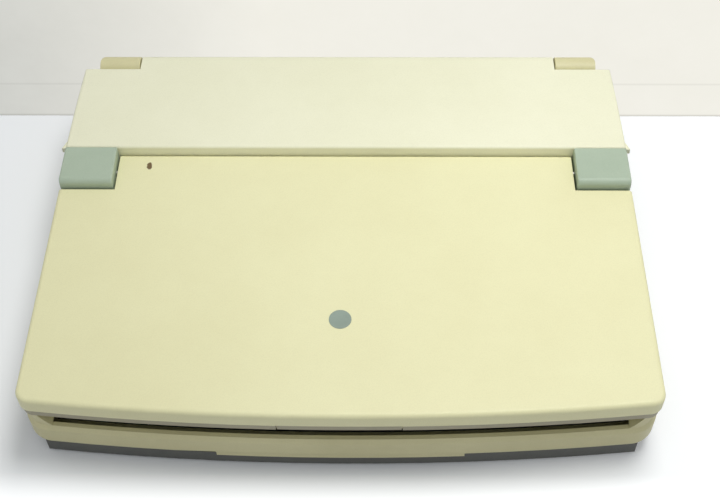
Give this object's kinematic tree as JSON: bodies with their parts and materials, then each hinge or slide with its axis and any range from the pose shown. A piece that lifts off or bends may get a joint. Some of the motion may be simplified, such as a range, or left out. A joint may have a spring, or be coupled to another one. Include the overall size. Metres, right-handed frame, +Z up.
{
  "type": "electronic word processor",
  "caption": "Portable word processor with a screen lid closed over its keyboard, a printer under a hinged rear cover, and a disk drive in its side.",
  "frame": {"origin": "on the table, under the middle of the machine's bounding box", "axes": "+X to the right as seen from the front, +Y to the back, +Z up"},
  "size_m": [0.343, 0.266, 0.0607],
  "materials": {
    "tan_plastic": "fine grained moulding",
    "cream_plastic": "fine grained moulding, yellowed",
    "pale_plastic": "fine grained moulding",
    "green_plastic": "fine grained moulding",
    "bezel_plastic": "fine grained moulding",
    "dark_plastic": "matt",
    "key_plastic": "satin",
    "grey_key_plastic": "satin",
    "green_key_plastic": "satin",
    "black_rubber": "matt",
    "grey_rubber": "matt",
    "steel": "bright",
    "plated_sheet": "zinc plated",
    "clear_pane": "clear",
    "lcd_panel": "grey-green panel",
    "circuit_board": "solder resist",
    "chip_black": "moulded",
    "gear_plastic": "natural",
    "battery_green": "shrink sleeve",
    "cable_grey": "flat ribbon",
    "supply_can": "pressed sheet"
  },
  "bodies": {
    "base": {"lower_case": "tan_plastic", "base_pan": "dark_plastic", "rubber_feet": "black_rubber", "case_screws": "steel", "keyboard_deck": "tan_plastic", "hinge_cap_left": "green_plastic", "hinge_cap_right": "green_plastic", "lid_hinge_pins": "steel", "cover_hinge_pins": "steel", "key_plate": "plated_sheet", "dome_sheet": "grey_rubber", "key_circuit_board": "circuit_board", "floppy_drive": "dark_plastic", "printer_chassis": "plated_sheet", "feed_motor": "plated_sheet", "carriage_rods": "steel", "carriage_belt": "black_rubber", "carriage_motor": "plated_sheet", "main_board": "circuit_board", "board_chips": "chip_black", "backup_battery": "battery_green", "power_supply": "supply_can", "power_inlet": "dark_plastic", "flat_cables": "cable_grey"},
    "lid": {"lid_shell": "cream_plastic", "lid_bezel": "bezel_plastic", "lid_screws": "steel", "lid_bumpers": "grey_rubber", "lcd_window": "clear_pane", "lcd_module": "lcd_panel", "lcd_driver_board": "circuit_board"},
    "latch": {"lid_latch": "bezel_plastic"},
    "cover": {"printer_cover": "pale_plastic"},
    "platen": {"platen_roller": "black_rubber", "platen_shaft": "steel", "platen_gear": "gear_plastic", "feed_knob": "dark_plastic"},
    "pinion": {"feed_pinion": "gear_plastic"},
    "pinch": {"pinch_rollers": "grey_rubber"},
    "lever": {"release_lever": "green_plastic"},
    "carriage": {"print_carriage": "dark_plastic", "thermal_head": "supply_can", "ribbon_cassette": "chip_black"},
    "drive_pulley_body": {"drive_pulley": "gear_plastic"},
    "idler_pulley_body": {"idler_pulley": "gear_plastic"},
    "dial": {"contrast_dial": "dark_plastic"},
    "switch": {"power_switch": "dark_plastic"},
    "eject": {"eject_button": "grey_key_plastic"},
    "function_keys_body": {"function_keys": "grey_key_plastic"},
    "number_keys_body": {"number_keys": "key_plastic"},
    "upper_letter_keys_body": {"upper_letter_keys": "key_plastic"},
    "middle_letter_keys_body": {"middle_letter_keys": "key_plastic"},
    "lower_letter_keys_body": {"lower_letter_keys": "key_plastic"},
    "mode_keys_body": {"mode_keys": "grey_key_plastic"},
    "cursor_keys_body": {"cursor_keys": "grey_key_plastic"},
    "space_bar_body": {"space_bar": "key_plastic"},
    "enter_key_body": {"enter_key": "green_key_plastic"},
    "backspace_key_body": {"backspace_key": "grey_key_plastic"},
    "left_shift_key_body": {"left_shift_key": "grey_key_plastic"},
    "right_shift_key_body": {"right_shift_key": "grey_key_plastic"}
  },
  "joints": [
    {"name": "lid_hinge", "type": "hinge", "parent": "base", "child": "lid", "pos_m": [0, 0.0367, 0.051], "axis": [-1, 0, 0], "range_deg": [0, 120]},
    {"name": "latch_slide", "type": "slide", "parent": "lid", "child": "latch", "axis": [0, 1, 0], "range_m": [0, 0.0025], "stiffness_N_per_m": 400, "springref_m": -0.001},
    {"name": "cover_hinge", "type": "hinge", "parent": "base", "child": "cover", "pos_m": [0, 0.125, 0.052], "axis": [-1, 0, 0], "range_deg": [0, 95]},
    {"name": "platen_spin", "type": "hinge", "parent": "base", "child": "platen", "pos_m": [0, 0.098, 0.044], "axis": [1, 0, 0], "continuous": true},
    {"name": "pinion_spin", "type": "hinge", "parent": "base", "child": "pinion", "pos_m": [0, 0.106, 0.03014], "axis": [1, 0, 0], "continuous": true},
    {"name": "pinch_spin", "type": "hinge", "parent": "base", "child": "pinch", "pos_m": [0, 0.098, 0.0327], "axis": [1, 0, 0], "continuous": true},
    {"name": "lever_pivot", "type": "hinge", "parent": "base", "child": "lever", "pos_m": [0.145, 0.069, 0.033], "axis": [1, 0, 0], "range_deg": [0, 28]},
    {"name": "carriage_slide", "type": "slide", "parent": "base", "child": "carriage", "axis": [1, 0, 0], "range_m": [0, 0.208]},
    {"name": "drive_pulley_spin", "type": "hinge", "parent": "base", "child": "drive_pulley_body", "pos_m": [-0.13, 0.069, 0.032], "axis": [0, 0, 1], "continuous": true},
    {"name": "idler_pulley_spin", "type": "hinge", "parent": "base", "child": "idler_pulley_body", "pos_m": [0.13, 0.069, 0.032], "axis": [0, 0, 1], "continuous": true},
    {"name": "dial_turn", "type": "hinge", "parent": "base", "child": "dial", "pos_m": [0.118, 0.012, 0.0332], "axis": [1, 0, 0], "range_deg": [-135, 135]},
    {"name": "switch_slide", "type": "slide", "parent": "base", "child": "switch", "axis": [1, 0, 0], "range_m": [0, 0.005]},
    {"name": "eject_press", "type": "slide", "parent": "base", "child": "eject", "axis": [-1, 0, 0], "range_m": [0, 0.0025], "stiffness_N_per_m": 300, "springref_m": -0.002},
    {"name": "function_keys_press", "type": "slide", "parent": "base", "child": "function_keys_body", "axis": [0, 0, -1], "range_m": [0, 0.003], "stiffness_N_per_m": 200, "springref_m": -0.004},
    {"name": "number_keys_press", "type": "slide", "parent": "base", "child": "number_keys_body", "axis": [0, 0, -1], "range_m": [0, 0.003], "stiffness_N_per_m": 200, "springref_m": -0.004},
    {"name": "upper_letter_keys_press", "type": "slide", "parent": "base", "child": "upper_letter_keys_body", "axis": [0, 0, -1], "range_m": [0, 0.003], "stiffness_N_per_m": 200, "springref_m": -0.004},
    {"name": "middle_letter_keys_press", "type": "slide", "parent": "base", "child": "middle_letter_keys_body", "axis": [0, 0, -1], "range_m": [0, 0.003], "stiffness_N_per_m": 200, "springref_m": -0.004},
    {"name": "lower_letter_keys_press", "type": "slide", "parent": "base", "child": "lower_letter_keys_body", "axis": [0, 0, -1], "range_m": [0, 0.003], "stiffness_N_per_m": 200, "springref_m": -0.004},
    {"name": "mode_keys_press", "type": "slide", "parent": "base", "child": "mode_keys_body", "axis": [0, 0, -1], "range_m": [0, 0.003], "stiffness_N_per_m": 200, "springref_m": -0.004},
    {"name": "cursor_keys_press", "type": "slide", "parent": "base", "child": "cursor_keys_body", "axis": [0, 0, -1], "range_m": [0, 0.003], "stiffness_N_per_m": 200, "springref_m": -0.004},
    {"name": "space_bar_press", "type": "slide", "parent": "base", "child": "space_bar_body", "axis": [0, 0, -1], "range_m": [0, 0.003], "stiffness_N_per_m": 200, "springref_m": -0.004},
    {"name": "enter_key_press", "type": "slide", "parent": "base", "child": "enter_key_body", "axis": [0, 0, -1], "range_m": [0, 0.003], "stiffness_N_per_m": 200, "springref_m": -0.004},
    {"name": "backspace_key_press", "type": "slide", "parent": "base", "child": "backspace_key_body", "axis": [0, 0, -1], "range_m": [0, 0.003], "stiffness_N_per_m": 200, "springref_m": -0.004},
    {"name": "left_shift_key_press", "type": "slide", "parent": "base", "child": "left_shift_key_body", "axis": [0, 0, -1], "range_m": [0, 0.003], "stiffness_N_per_m": 200, "springref_m": -0.004},
    {"name": "right_shift_key_press", "type": "slide", "parent": "base", "child": "right_shift_key_body", "axis": [0, 0, -1], "range_m": [0, 0.003], "stiffness_N_per_m": 200, "springref_m": -0.004}
  ],
  "couplings": [
    {"joint": "pinion_spin", "follows": "platen_spin", "ratio": -3},
    {"joint": "pinch_spin", "follows": "platen_spin", "ratio": -2.6667},
    {"joint": "drive_pulley_spin", "follows": "carriage_slide", "rad_per_m": -192.31},
    {"joint": "idler_pulley_spin", "follows": "carriage_slide", "rad_per_m": -192.31}
  ]
}
